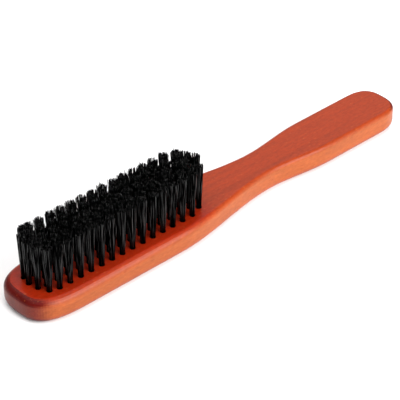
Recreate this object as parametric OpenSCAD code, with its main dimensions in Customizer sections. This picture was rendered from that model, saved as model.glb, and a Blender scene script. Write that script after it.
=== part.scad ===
// Fade brush: a one-piece wooden body with tufts of bristle anchored in drilled blind holes.
// The body lies on its flat back with the bristles up. The head is towards -X and the grip
// towards +X. The origin is on the plane of the back, under the middle of the brush.

/* [Body] */
// Overall length of the wood
body_length = 228.7; // [215:0.1:240]
// Thickness of the wood
body_thickness = 12.1; // [9.5:0.1:14]
// Full width of the head
head_width = 35.2; // [32:0.1:40]
// Full width of the waist between the head and the grip
waist_width = 18.3; // [14:0.1:24]
// Full width of the grip
grip_width = 24.9; // [20:0.1:32]
// Radius of the edge round the bristle face, along the waist and the grip
face_edge_radius = 2.1; // [1:0.1:3]
// Radius of the same edge round the head, where more wood is sanded away
head_edge_radius = 3.7; // [2:0.1:4.5]
// Radius of the edge round the back
back_edge_radius = 4.4; // [2:0.1:4.5]

/* [Outline, measured from the tip of the head] */
// Where the head starts to narrow
shoulder_at = 81.5; // [70:0.5:95]
// Where the larger edge radius of the head starts to fade out
edge_fade_from = 50; // [40:1:70]
// Where it has faded to the radius of the waist and the grip
edge_fade_to = 125; // [110:1:140]
// Where the waist is narrowest
waist_at = 145; // [135:0.5:155]
// Where the grip reaches its full width
grip_at = 179.5; // [170:0.5:190]
// Length of the rounded end of the head
head_end_length = 29.4; // [20:0.1:32]
// Squareness of the rounded end of the head (2 is an ellipse)
head_end_power = 3; // [2.4:0.1:4]
// Length of the rounded end of the grip
grip_end_length = 15.2; // [12:0.1:22]
// Squareness of the rounded end of the grip (2 is an ellipse)
grip_end_power = 2.8; // [2.2:0.1:3.5]

/* [Tufts] */
// Number of tufts in each outer row
tufts_per_row = 14; // [10:1:14]
// Spacing of the tufts along a row
pitch = 5.91; // [5.85:0.01:6.1]
// Spacing of the five rows across the head
row_gap = 4.9; // [4.8:0.05:5.2]
// Place of the first rank of tufts, from the tip of the head
first_rank_at = 14; // [13:0.05:15]
// Length of bristle that stands out of the wood
bristle_length = 23.1; // [15:0.1:32]
// Diameter of a tuft at the trimmed tips
tip_diameter = 3.9; // [2.8:0.05:3.95]

/* [Tuft holes] */
// Diameter of a tuft hole
hole_diameter = 2.5; // [2:0.05:2.7]
// Depth of a tuft hole
hole_depth = 7; // [5:0.1:8]
// Size of the small chamfer at the mouth of a hole
mouth_chamfer = 0.2; // [0.1:0.05:0.3]

/* [Anchors] */
// Length of the flat anchor that holds a folded tuft down
anchor_length = 3.2; // [2.9:0.05:3.5]
// Height of the anchor
anchor_height = 1.6; // [1.2:0.1:2]
// Thickness of the anchor
anchor_thickness = 0.4; // [0.3:0.05:0.5]
// Depth of folded bristle under the anchor
fold_depth = 1; // [0.8:0.1:1.5]

/* [Hidden] */
// A tuft is this much thinner than its hole, on the radius.
tuft_clearance = 0.04;
// The tufts round the two ends of the field are drilled by eye, off the grid. Each has its
// place from the nearest full rank, in pitches, and from the middle row, in row gaps.
head_end_spots = [[-0.28, -1.735], [-0.69, -0.76], [-0.84, 0.27], [-0.67, 1.25], [-0.165, 1.9]];
waist_end_spots = [[0.55, -1.48], [1.3, -0.08], [0.88, 0.8], [0.475, 1.58]];
// The middle row has one more tuft close to each end.
filler_spot = 0.17;

hole_facets = 24;
end_steps = 22;
side_steps = 44;
face_edge_steps = 7;
back_edge_steps = 7;
cut_overlap = 1;

rank_count = 2 * tufts_per_row + 1;
row_names = ["near_edge", "near_inner", "middle", "far_inner", "far_edge"];

function rank_node(rank) = str("tuft_rank_", rank < 10 ? "0" : "", rank);
function row_node(row) = str("anchors_", row_names[row], "_row");

// ---- Places of the tufts, measured from the tip of the head ----

function rank_at(rank) = first_rank_at + (rank - 1) * pitch / 2;

// Odd ranks hold the two inner rows and even ranks the outer and middle rows.
function rows_in(rank) = rank % 2 == 1 ? [1, 3] : [0, 2, 4];
function place(at, row) = [at, (row - 2) * row_gap];
function rank_places(rank) = [for (row = rows_in(rank)) place(rank_at(rank), row)];
function row_places(row) = [
    for (rank = [1:rank_count])
        for (held = rows_in(rank))
            if (held == row) place(rank_at(rank), row)
];
function end_places(rank, spots) = [
    for (spot = spots) [rank_at(rank) + spot.x * pitch, spot.y * row_gap]
];
head_places = end_places(1, concat(head_end_spots, [[-filler_spot, 0]]));
waist_places = end_places(rank_count, concat(waist_end_spots, [[filler_spot, 0]]));
all_places = concat(
    head_places,
    waist_places,
    [for (rank = [1:rank_count]) each rank_places(rank)]
);

// ---- Outline of the wood ----

// Smooth step from 0 at start to 1 at finish
function ease(start, finish, at) =
    let (t = min(1, max(0, (at - start) / (finish - start))))
    t * t * (3 - 2 * t);
function mix(from, to, share) = from + (to - from) * share;

// Half the width of the sides, before the ends are rounded
function side_half_width(at) = at < waist_at
    ? mix(head_width, waist_width, ease(shoulder_at, waist_at, at)) / 2
    : mix(waist_width, grip_width, ease(waist_at, grip_at, at)) / 2;

// Superellipse end: 0 at the tip, 1 from length onwards
function end_share(distance, length, power) =
    pow(1 - pow(1 - min(1, distance / length), power), 1 / power);
function half_width(at) = side_half_width(at)
    * end_share(at, head_end_length, head_end_power)
    * end_share(body_length - at, grip_end_length, grip_end_power);

// Distance from a tip at one step of its rounded end, close together near the tip
function end_distance(step, length, power) =
    length * (1 - pow(cos(90 * step / end_steps), 2 / power));
side_from = head_end_length;
side_to = body_length - grip_end_length;
stations = concat(
    [for (step = [1:end_steps]) end_distance(step, head_end_length, head_end_power)],
    [for (step = [1:side_steps - 1]) mix(side_from, side_to, step / side_steps)],
    [for (step = [end_steps:-1:1]) body_length - end_distance(step, grip_end_length, grip_end_power)]
);
last_station = len(stations) - 1;
outline = concat(
    [[0, 0]],
    [for (at = stations) [at, -half_width(at)]],
    [[body_length, 0]],
    [for (i = [last_station:-1:0]) [stations[i], half_width(stations[i])]]
);
outline_count = len(outline);

// Radius of the edge round the bristle face at a distance from the tip of the head
function edge_radius(at) =
    mix(head_edge_radius, face_edge_radius, ease(edge_fade_from, edge_fade_to, at));

// Direction square to the outline, towards the inside of the brush
function inward(i) =
    let (along = outline[(i + 1) % outline_count] - outline[(i + outline_count - 1) % outline_count])
    [-along.y, along.x] / norm(along);
function inset_point(i, inset, height) =
    let (point = outline[i] + inset * inward(i))
    [point.x, point.y, height];

// Rings of the rounded edges, at an angle from 0 at the foot of the edge to 90 at its top
function back_ring(turn) = [
    for (i = [0:outline_count - 1])
        inset_point(i, back_edge_radius * (1 - sin(turn)), back_edge_radius * (1 - cos(turn)))
];
function face_ring(turn) = [
    for (i = [0:outline_count - 1])
        let (radius = edge_radius(outline[i].x))
        inset_point(i, radius * (1 - cos(turn)), body_thickness - radius * (1 - sin(turn)))
];

// Triangles that fill a ring with strips across the brush, from the tip of the head to the
// tip of the grip. The ring's points start at index first.
function crosswise_strips(first) = [
    for (i = [0:outline_count / 2 - 1])
        let (
            near = first + i,
            near_next = near + 1,
            far = first + (outline_count - i) % outline_count,
            far_next = first + outline_count - i - 1
        )
        each concat(
            near == far ? [] : [[near, far, far_next]],
            near_next == far_next ? [] : [[near, far_next, near_next]]
        )
];

// ---- Pieces ----

// Things below are drawn with the tip of the head at x = 0, then centred on the origin.
module centred() {
    translate([-body_length / 2, 0, 0]) children();
}

module at_places(places) {
    for (spot = places) translate([spot.x, spot.y, 0]) children();
}

// The plank of wood: outline rings stacked from the back to the bristle face
module plank() {
    rings = concat(
        [for (step = [0:back_edge_steps]) back_ring(90 * step / back_edge_steps)],
        [for (step = [0:face_edge_steps]) face_ring(90 * step / face_edge_steps)]
    );
    top = (len(rings) - 1) * outline_count;
    walls = [
        for (level = [0:len(rings) - 2])
            for (i = [0:outline_count - 1])
                let (
                    low = level * outline_count,
                    high = low + outline_count,
                    next = (i + 1) % outline_count
                )
                each [[low + i, high + i, high + next], [low + i, high + next, low + next]]
    ];
    face = crosswise_strips(top);
    back = [for (corners = crosswise_strips(0)) [corners[2], corners[1], corners[0]]];
    polyhedron(points = [for (level = rings) each level], faces = concat(walls, back, face));
}

// Blind hole with a lightly chamfered mouth
module tuft_hole() {
    radius = hole_diameter / 2;
    floor_height = body_thickness - hole_depth;
    rotate_extrude($fn = hole_facets)
        polygon([
            [0, floor_height],
            [radius, floor_height],
            [radius, body_thickness - mouth_chamfer],
            [radius + mouth_chamfer + cut_overlap, body_thickness + cut_overlap],
            [0, body_thickness + cut_overlap]
        ]);
}

// Flat anchor. Its ends bite into the wood on both sides of the hole.
module anchor() {
    translate([0, 0, body_thickness - hole_depth + fold_depth + anchor_height / 2])
        cube([anchor_thickness, anchor_length, anchor_height], center = true);
}

// Bundle of bristles folded round its anchor, straight in the hole and spreading above it
module tuft() {
    root_radius = hole_diameter / 2 - tuft_clearance;
    difference() {
        union() {
            translate([0, 0, body_thickness - hole_depth + tuft_clearance])
                cylinder(h = hole_depth - tuft_clearance, r = root_radius, $fn = hole_facets);
            translate([0, 0, body_thickness])
                cylinder(h = bristle_length, r1 = root_radius, r2 = tip_diameter / 2,
                         $fn = hole_facets);
        }
        anchor();
    }
}

module wooden_body() {
    color("#c8714a") centred() difference() {
        plank();
        at_places(all_places) {
            tuft_hole();
            anchor();
        }
    }
}

module tufts(places) {
    color("#1c1b1b") centred() at_places(places) tuft();
}

module anchors(places) {
    color("#b9a36a") centred() at_places(places) anchor();
}

wooden_body();
tufts(head_places);  // head_end_tufts
tufts(waist_places);  // waist_end_tufts
for (rank = [1:rank_count])
    tufts(rank_places(rank));
anchors(head_places);  // head_end_anchors
anchors(waist_places);  // waist_end_anchors
for (row = [0:4])
    anchors(row_places(row));
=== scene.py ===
"""Fade brush: a stained and lacquered wooden body with tufts of black bristle.

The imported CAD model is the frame. The wooden body and the anchors keep their CAD shape and
get a finish. Each solid tuft becomes a bundle of separate bristles.
"""
import math
import random

import bmesh
import bpy
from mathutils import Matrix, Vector


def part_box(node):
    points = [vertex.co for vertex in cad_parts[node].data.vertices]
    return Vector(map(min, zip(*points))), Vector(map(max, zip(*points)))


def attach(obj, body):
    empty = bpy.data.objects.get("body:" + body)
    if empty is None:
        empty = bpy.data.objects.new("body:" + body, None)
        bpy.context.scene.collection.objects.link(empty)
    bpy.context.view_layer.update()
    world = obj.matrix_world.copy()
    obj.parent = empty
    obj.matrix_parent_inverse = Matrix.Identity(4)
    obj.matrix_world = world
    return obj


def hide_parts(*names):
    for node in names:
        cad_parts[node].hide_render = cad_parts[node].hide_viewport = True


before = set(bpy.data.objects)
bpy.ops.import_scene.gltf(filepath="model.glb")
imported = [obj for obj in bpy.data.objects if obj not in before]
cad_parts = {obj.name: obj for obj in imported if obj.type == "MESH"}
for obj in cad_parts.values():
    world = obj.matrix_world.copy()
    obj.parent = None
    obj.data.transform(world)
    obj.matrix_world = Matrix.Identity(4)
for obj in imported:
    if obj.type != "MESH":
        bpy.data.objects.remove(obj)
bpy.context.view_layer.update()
MM = 0.001

# ---- Bristles: sizes in metres ----

BRISTLE_DIAMETER = 0.33 * MM
BRISTLE_SPREAD = (0.8, 1.15)  # thinnest and thickest bristle, as shares of the diameter
BRISTLES_PER_TUFT = 62
BRISTLE_SIDES = 5
BRISTLE_STATIONS = (0, 0.2, 0.4, 0.6, 0.8, 0.985, 1)  # rings of a bristle, from root to tip
TIP_TAPER = 0.75              # a tip's thickness as a share of its bristle's
ROOT_RADIUS = 1.21 * MM       # radius of a tuft where it leaves its hole, as in the CAD
ROOT_DEPTH = 2.0 * MM         # how far the modelled bristles reach into their hole
RIM_CROWDING = 0.45           # 0.5 fills a tuft evenly, less brings bristles to its rim
RIM_JITTER = 0.05             # how unevenly they are placed outwards, as a share of the radius
TURN_JITTER = 0.15            # how unevenly they are placed round the tuft, in radians
FLARE = 1.48                  # loose tips spread to this many radii of the solid tuft
OUTER_FLARE = 1.12            # the same where no neighbouring tuft shares the gap
NEIGHBOUR_REACH = 4.3 * MM    # a tip this close to the middle of another tuft has a neighbour
TRIM_ROUGHNESS = 0.22 * MM    # how unevenly the tips are cut
CLUMPS_PER_TUFT = 8           # bristles lean together in small clumps
CLUMP_REACH = 0.75            # how far out the clumps are, as a share of the radius
CLUMPING = 0.12               # share of the way each tip moves to its clump
STRAY_SHARE = 0.07            # share of bristles that stand out of their tuft
STRAY_REACH = 0.7 * MM        # how far past the rim their tips go
STRAY_TIPS = (-0.2 * MM, 0.5 * MM)  # their lowest and highest tips, from the trimmed plane
CROOKEDNESS = 0.09 * MM       # how unevenly bristles run and bow
LEAN = 0.28 * MM              # how far a whole tuft leans at the tips

WELD = 0.002 * MM             # corners of a CAD solid this close together are one

# ---- Wood ----

WOOD_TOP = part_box("wooden_body")[1].z
TUFT_SHADE_MARGIN = 2 * MM         # the painted shade round the tufts ends this far past them
TUFT_SHADE_FADE = 12 * MM          # and fades over this length
TUFTED_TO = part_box("waist_end_tufts")[1].x + TUFT_SHADE_MARGIN

STAIN_FACE = (0.268, 0.027, 0.0035, 1)
# painted shade on the flat top round the tufts, where the bristles shade the wood
PAINTED_SHADE_ROUND_TUFTS = (0.262, 0.013, 0.0013, 1)
# painted sheen: the upright sides, lighter and more orange than the flat faces
SIDES_WITH_PAINTED_SHEEN = (0.302, 0.068, 0.0160, 1)
# the end faces: end grain that soaks up more colour, darkened further by painted shade
END_GRAIN_STAIN_AND_SHADE = (0.138, 0.014, 0.0060, 1)
# painted shade along the rounded edges of the ends
PAINTED_SHADE_END_EDGES = (0.085, 0.0015, 0.0003, 1)
DARK_FLECK = (0.12, 0.012, 0.003, 1)
PALE_FLECK = (0.42, 0.12, 0.03, 1)

# ---- Studio ----

FLOOR_REACH = 20.0
FLOOR_GAP = 0.05 * MM         # keeps the floor off the back of the brush
AMBIENT = 0.25

CAMERA_AIM = Vector((-9.42, -2.74, 11.2)) * MM
CAMERA_DISTANCE = 933.5 * MM
CAMERA_TURN = math.radians(42.62)       # from +Y towards +X
CAMERA_ELEVATION = math.radians(36.08)
CAMERA_LENS = 185.42                     # millimetres on a sensor of SENSOR_WIDTH
SENSOR_WIDTH = 36
CLIP_RANGE = (0.01, 50)


# ---- Materials ----

class Finish:
    """A procedural material in the making, with the nodes that feed its Principled shader."""

    def __init__(self, name):
        self.material = bpy.data.materials.new(name)
        self.material.use_nodes = True
        self.tree = self.material.node_tree
        self.coordinates = self.add("ShaderNodeTexCoord")
        self.place = self.coordinates.outputs["Object"]

    def fill(self, node, inputs):
        """Links or sets a node's inputs, by name or number."""
        for key, value in inputs.items():
            if isinstance(value, bpy.types.NodeSocket):
                self.tree.links.new(value, node.inputs[key])
            else:
                node.inputs[key].default_value = value

    def add(self, kind, inputs=(), **settings):
        node = self.tree.nodes.new(kind)
        for key, value in settings.items():
            setattr(node, key, value)
        self.fill(node, dict(inputs))
        return node

    def shade(self, inputs):
        """Fills the shader's inputs and gives the finished material."""
        self.fill(self.tree.nodes["Principled BSDF"], inputs)
        return self.material

    def facing(self, axis):
        """How far the surface faces along an axis, from -1 to 1."""
        normal = {"Vector": self.coordinates.outputs["Normal"]}
        return self.add("ShaderNodeSeparateXYZ", normal).outputs[axis]

    def calculated(self, operation, *values, clamp=False):
        inputs = dict(enumerate(values))
        return self.add("ShaderNodeMath", inputs, operation=operation, use_clamp=clamp).outputs[0]

    def noise(self, scale, detail, roughness=0.5):
        """Noise from 0 to 1, with this many spots per metre along each axis."""
        where = self.add("ShaderNodeMapping", {"Vector": self.place, "Scale": scale}).outputs[0]
        return self.add("ShaderNodeTexNoise", {
            "Vector": where, "Scale": 1.0, "Detail": detail, "Roughness": roughness,
        }).outputs["Fac"]

    def spread(self, value, low, high, to_low=0.0, to_high=1.0, kind="LINEAR"):
        """Value between low and high, carried over to to_low and to_high."""
        return self.add("ShaderNodeMapRange", {
            "Value": value, "From Min": low, "From Max": high, "To Min": to_low, "To Max": to_high,
        }, interpolation_type=kind).outputs[0]

    def mixed(self, share, first, second):
        colours = {"Factor": share, 6: first, 7: second}
        return self.add("ShaderNodeMix", colours, data_type="RGBA").outputs[2]

    def faded(self, value, share):
        """Value, taken down to 0 where share is 1."""
        return self.add("ShaderNodeMix", {"Factor": share, 2: value, 3: 0.0}).outputs[0]

    def scaled(self, colour, factor):
        inputs = {0: colour, "Scale": factor}
        return self.add("ShaderNodeVectorMath", inputs, operation="SCALE").outputs[0]

    def ramp(self, value, low_colour, high_colour, low=0.0, high=1.0):
        """Low_colour up to low, high_colour from high, and a straight blend between them."""
        node = self.add("ShaderNodeValToRGB", {"Fac": value})
        for element, position, colour in zip(
            node.color_ramp.elements, (low, high), (low_colour, high_colour)
        ):
            element.position = position
            element.color = colour
        return node.outputs["Color"]


def grey(value):
    return (value, value, value, 1)


def stained_wood():
    """Reddish-brown stained beech under clear lacquer, with its grain along X.

    The upright sides are painted a little lighter and more orange than the flat faces, a painted
    sheen, and the flat top is painted deeper red round the tufts, a painted shade. The end grain
    at both tips is stained darker, as it soaks up more, and painted shade darkens it further,
    most of all along its rounded edges.
    """
    wood = Finish("stained_wood")
    flatness = wood.calculated("ABSOLUTE", wood.facing("Z"))
    endness = wood.calculated("ABSOLUTE", wood.facing("X"))
    end_grain = wood.spread(endness, 0.25, 0.85, kind="SMOOTHSTEP")
    end_edge = wood.spread(wood.calculated("MULTIPLY", endness, flatness), 0.12, 0.3)
    along = wood.add("ShaderNodeSeparateXYZ", {"Vector": wood.place}).outputs["X"]
    # painted shade on the flat top round the tufts
    tuft_shade = wood.spread(along, TUFTED_TO, TUFTED_TO - TUFT_SHADE_FADE, kind="SMOOTHSTEP")
    tuft_shade = wood.calculated("MULTIPLY", tuft_shade, wood.facing("Z"), clamp=True)

    def streaks(lengthwise, crosswise, detail, roughness=0.5):
        return wood.noise((lengthwise, crosswise, crosswise), detail, roughness)

    grain = streaks(18, 420, 5.0, 0.6)
    bands = streaks(5, 70, 2.0)
    mottle = streaks(420, 900, 3.0, 0.6)
    dark_flecks = streaks(260, 1700, 2.0)
    pale_flecks = streaks(500, 1400, 1.0)

    # the wood's colour, with painted shade round the tufts
    stain_and_painted_light = wood.mixed(tuft_shade, STAIN_FACE, PAINTED_SHADE_ROUND_TUFTS)
    # painted sheen on the upright sides
    stain_and_painted_light = wood.mixed(flatness, SIDES_WITH_PAINTED_SHEEN, stain_and_painted_light)
    # end grain stained darker, and darkened further by painted shade
    stain_and_painted_light = wood.mixed(end_grain, stain_and_painted_light, END_GRAIN_STAIN_AND_SHADE)
    # painted shade along the rounded end edges
    stain_and_painted_light = wood.mixed(end_edge, stain_and_painted_light, PAINTED_SHADE_END_EDGES)
    stain_and_painted_light = wood.scaled(stain_and_painted_light, wood.spread(grain, 0.3, 0.7, 0.88, 1.12))
    stain_and_painted_light = wood.scaled(stain_and_painted_light, wood.spread(bands, 0.3, 0.7, 0.9, 1.1))
    stain_and_painted_light = wood.scaled(stain_and_painted_light, wood.spread(mottle, 0.3, 0.7, 0.87, 1.13))
    stain_and_painted_light = wood.mixed(wood.spread(dark_flecks, 0.62, 0.74, 0.0, 0.4), stain_and_painted_light, DARK_FLECK)
    stain_and_painted_light = wood.mixed(wood.spread(pale_flecks, 0.66, 0.76, 0.0, 0.3), stain_and_painted_light, PALE_FLECK)
    relief = {"Height": grain, "Strength": 0.1, "Distance": 0.1 * MM}
    return wood.shade({
        "Base Color": stain_and_painted_light,
        "Roughness": wood.spread(grain, 0.0, 1.0, 0.3, 0.5),
        "Normal": wood.add("ShaderNodeBump", relief).outputs[0],
        "Specular IOR Level": 0.12,
        "Coat Weight": wood.spread(end_edge, 0.0, 1.0, 0.18, 0.04),
        "Coat Roughness": 0.17,
        "Coat IOR": 1.48,
    })


def black_bristle():
    """Black bristle, some strands shinier than the next, with dull cut ends that carry painted
    highlights in grey specks.
    """
    bristles = Finish("black_bristle")
    strand = bristles.noise((1900, 1900, 30), 1.0)
    patch = bristles.noise((420, 420, 30), 1.0)
    cut_end = bristles.spread(bristles.facing("Z"), 0.7, 0.9)
    # grey specks of painted highlight on the cut ends, which get no specular of their own
    glint_spots = bristles.calculated("MULTIPLY", strand, patch)
    side_colour = bristles.ramp(strand, grey(0.0004), grey(0.0012), 0.35, 0.7)
    end_colour_with_glints = bristles.ramp(glint_spots, grey(0.0003), (0.12, 0.12, 0.1152, 1), 0.32, 0.36)
    shine = bristles.spread(strand, 0.48, 0.64, 0.0, 0.5)
    return bristles.shade({
        "Base Color": bristles.mixed(cut_end, side_colour, end_colour_with_glints),
        "Specular IOR Level": bristles.faded(shine, cut_end),
        "Roughness": bristles.spread(strand, 0.0, 1.0, 0.32, 0.1),
    })


def anchor_wire():
    """Drawn flat brass wire with fine lengthwise marks."""
    wire = Finish("anchor_wire")
    marks = wire.noise((3000, 300, 3000), 3.0)
    return wire.shade({
        "Base Color": wire.ramp(marks, (0.48, 0.33, 0.12, 1), (0.72, 0.55, 0.26, 1)),
        "Roughness": wire.spread(marks, 0.0, 1.0, 0.25, 0.5),
        "Metallic": 1.0,
    })


def pale_floor():
    """Matt white studio floor with a trace of unevenness."""
    floor = Finish("pale_floor")
    mottle = floor.noise((6, 6, 6), 2.0)
    return floor.shade({
        "Base Color": floor.ramp(mottle, grey(0.90), grey(0.94)),
        "Roughness": 0.9,
        "Specular IOR Level": 0.1,
    })


# ---- Mesh helpers ----

def object_from(name, vertices, faces, material, smooth=True):
    mesh = bpy.data.meshes.new(name)
    mesh.from_pydata(vertices, [], faces)
    mesh.validate()
    mesh.materials.append(material)
    if smooth:
        mesh.polygons.foreach_set("use_smooth", [True] * len(mesh.polygons))
    made = bpy.data.objects.new(name, mesh)
    bpy.context.scene.collection.objects.link(made)
    return made


def connected(start, seen):
    """Places of all the corners that edges join to start. Each is added to seen."""
    group, queue = [], [start]
    seen.add(start)
    while queue:
        here = queue.pop()
        group.append(here.co.copy())
        for edge in here.link_edges:
            there = edge.other_vert(here)
            if there not in seen:
                seen.add(there)
                queue.append(there)
    return group


def solids_of(node):
    """(lowest corner, highest corner) of each separate solid of a CAD node, in a fixed order."""
    mesh = bmesh.new()
    mesh.from_mesh(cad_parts[node].data)
    bmesh.ops.remove_doubles(mesh, verts=mesh.verts, dist=WELD)
    seen, boxes = set(), []
    for start in mesh.verts:
        if start not in seen:
            group = connected(start, seen)
            low = Vector([min(p[axis] for p in group) for axis in range(3)])
            high = Vector([max(p[axis] for p in group) for axis in range(3)])
            boxes.append((low, high))
    mesh.free()
    return sorted(boxes, key=lambda box: (round(box[0].x, 5), round(box[0].y, 5)))


def middle(low, high):
    return Vector(((low.x + high.x) / 2, (low.y + high.y) / 2, 0))


# ---- Bristles ----

TUFT_NODES = sorted(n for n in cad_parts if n.startswith("tuft_rank_") or n.endswith("_end_tufts"))
ANCHOR_NODES = sorted(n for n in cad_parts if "anchors" in n)


def bristle(path, radii, turn, vertices, faces):
    """Adds one closed tapering tube along path."""
    first = len(vertices)
    for point, radius in zip(path, radii):
        for side in range(BRISTLE_SIDES):
            angle = turn + math.tau * side / BRISTLE_SIDES
            vertices.append(point + radius * Vector((math.cos(angle), math.sin(angle), 0)))
    for ring in range(len(path) - 1):
        for side in range(BRISTLE_SIDES):
            a = first + ring * BRISTLE_SIDES + side
            b = first + ring * BRISTLE_SIDES + (side + 1) % BRISTLE_SIDES
            faces.append((a, b, b + BRISTLE_SIDES, a + BRISTLE_SIDES))
    faces.append(tuple(first + side for side in reversed(range(BRISTLE_SIDES))))
    last = first + (len(path) - 1) * BRISTLE_SIDES
    faces.append(tuple(last + side for side in range(BRISTLE_SIDES)))


def disc_places(count, rng):
    """Points over a disc of radius 1 (a sunflower, closer near the rim), each moved a little."""
    golden = math.pi * (3 - math.sqrt(5))
    turn = rng.uniform(0, math.tau)
    for i in range(count):
        radius = ((i + 0.5) / count) ** RIM_CROWDING + rng.uniform(-RIM_JITTER, RIM_JITTER)
        angle = i * golden + turn + rng.uniform(-TURN_JITTER, TURN_JITTER)
        yield Vector((math.cos(angle), math.sin(angle), 0)) * min(1.0, radius)


def sideways(rng, reach):
    return Vector((rng.gauss(0, reach), rng.gauss(0, reach), 0))


def tuft(low, high, centres, rng, vertices, faces):
    """Bristles that fill the CAD tuft between low and high and spread as it does.

    centres holds the middle of every tuft of the brush.
    """
    centre = middle(low, high)
    others = [other for other in centres if (other - centre).length > BRISTLE_DIAMETER]
    tip_radius = (high.x - low.x) / 2 - BRISTLE_DIAMETER / 2
    root_radius = ROOT_RADIUS - BRISTLE_DIAMETER / 2
    bottom, top = WOOD_TOP - ROOT_DEPTH, high.z
    lean = sideways(rng, LEAN)
    clumps = [spot * CLUMP_REACH for spot in disc_places(CLUMPS_PER_TUFT, rng)]
    for spot in disc_places(BRISTLES_PER_TUFT, rng):
        nearest = min(clumps, key=lambda clump: (clump - spot).length)
        end = centre + lean + spot.lerp(nearest, CLUMPING) * tip_radius * FLARE
        end += sideways(rng, CROOKEDNESS)
        if min((end - other).length for other in others) > NEIGHBOUR_REACH:
            reach = (end - centre).length
            end = centre.lerp(end, min(1.0, OUTER_FLARE * tip_radius / reach))
        tip = top - abs(rng.gauss(0, TRIM_ROUGHNESS))
        if rng.random() < STRAY_SHARE:
            end += spot * rng.uniform(0, STRAY_REACH)
            tip = top + rng.uniform(*STRAY_TIPS)
        root = centre + spot * root_radius
        bend = sideways(rng, CROOKEDNESS)
        path = []
        for station in BRISTLE_STATIONS:
            height = bottom + (tip - bottom) * station
            spread = max(0.0, (height - WOOD_TOP) / (tip - WOOD_TOP))
            here = root.lerp(end, spread) + bend * math.sin(math.pi * spread)
            path.append(Vector((here.x, here.y, height)))
        thickness = BRISTLE_DIAMETER / 2 * rng.uniform(*BRISTLE_SPREAD)
        radii = [thickness] * (len(path) - 1) + [thickness * TIP_TAPER]
        bristle(path, radii, rng.uniform(0, math.tau), vertices, faces)


def make_tufts(material):
    solids = {node: solids_of(node) for node in TUFT_NODES}
    centres = [middle(low, high) for node in TUFT_NODES for low, high in solids[node]]
    for number, node in enumerate(TUFT_NODES):
        rng = random.Random(number)
        vertices, faces = [], []
        for low, high in solids[node]:
            tuft(low, high, centres, rng, vertices, faces)
        piece = object_from(node + "_bristles", vertices, faces, material)
        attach(piece, "root")
        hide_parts(node)


# ---- Wood and anchors ----

def finish(node, material):
    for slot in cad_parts[node].material_slots:
        slot.material = material


def shade_smooth_nodes():
    """Node group that shades a mesh smoothly and leaves its shape as it is."""
    group = bpy.data.node_groups.new("shade_smooth", "GeometryNodeTree")
    group.interface.new_socket("Geometry", in_out="INPUT", socket_type="NodeSocketGeometry")
    group.interface.new_socket("Geometry", in_out="OUTPUT", socket_type="NodeSocketGeometry")
    start = group.nodes.new("NodeGroupInput")
    smooth = group.nodes.new("GeometryNodeSetShadeSmooth")
    end = group.nodes.new("NodeGroupOutput")
    group.links.new(start.outputs["Geometry"], smooth.inputs["Geometry"])
    group.links.new(smooth.outputs["Geometry"], end.inputs["Geometry"])
    return group


def finish_wood(material):
    """The CAD body with its rounded edges shaded smoothly and its flat faces kept flat."""
    finish("wooden_body", material)
    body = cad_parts["wooden_body"]
    body.modifiers.new("smooth_shading", "NODES").node_group = shade_smooth_nodes()
    weighted = body.modifiers.new("even_shading", "WEIGHTED_NORMAL")
    weighted.mode = "FACE_AREA"
    weighted.weight = 100  # the flat faces count, and the narrow strips beside them don't


def finish_anchors(material):
    for node in ANCHOR_NODES:
        finish(node, material)


# ---- Floor, lights and camera ----

def make_floor():
    corners = [(-1, -1), (1, -1), (1, 1), (-1, 1)]
    floor = object_from(
        "floor",
        [(x * FLOOR_REACH, y * FLOOR_REACH, 0) for x, y in corners],
        [(0, 1, 2, 3)],
        pale_floor(),
        smooth=False,
    )
    floor.location.z = -FLOOR_GAP


def softbox(name, place, size, radiance):
    """A rectangular softbox that faces the brush."""
    data = bpy.data.lights.new(name, "AREA")
    data.shape = "RECTANGLE"
    data.size, data.size_y = size
    data.energy = radiance * math.pi * size[0] * size[1]
    light = bpy.data.objects.new(name, data)
    light.location = place
    light.rotation_mode = "QUATERNION"
    light.rotation_quaternion = (-Vector(place)).to_track_quat("-Z", "Y")
    bpy.context.scene.collection.objects.link(light)


def make_light():
    world = bpy.data.worlds.new("studio")
    world.use_nodes = True
    world.node_tree.nodes["Background"].inputs["Color"].default_value = grey(1)
    world.node_tree.nodes["Background"].inputs["Strength"].default_value = AMBIENT
    bpy.context.scene.world = world
    softbox("key", place=(0.30, -1.60, 0.80), size=(1.8, 1.7), radiance=7.3)
    softbox("overhead", place=(-0.25, 0.20, 1.5), size=(2.6, 1.9), radiance=2.05)
    softbox("behind", place=(1.15, 1.05, 1.05), size=(1.6, 1.0), radiance=0.92)


def make_camera():
    data = bpy.data.cameras.new("camera")
    data.sensor_width = SENSOR_WIDTH
    data.lens = CAMERA_LENS
    data.clip_start, data.clip_end = CLIP_RANGE
    camera = bpy.data.objects.new("camera", data)
    forward = Vector((
        math.sin(CAMERA_TURN) * math.cos(CAMERA_ELEVATION),
        math.cos(CAMERA_TURN) * math.cos(CAMERA_ELEVATION),
        -math.sin(CAMERA_ELEVATION),
    ))
    camera.location = CAMERA_AIM - forward * CAMERA_DISTANCE
    camera.rotation_mode = "QUATERNION"
    camera.rotation_quaternion = forward.to_track_quat("-Z", "Y")
    bpy.context.scene.collection.objects.link(camera)
    bpy.context.scene.camera = camera


make_tufts(black_bristle())
finish_wood(stained_wood())
finish_anchors(anchor_wire())
make_floor()
make_light()
make_camera()
bpy.context.scene.view_settings.view_transform = "Standard"
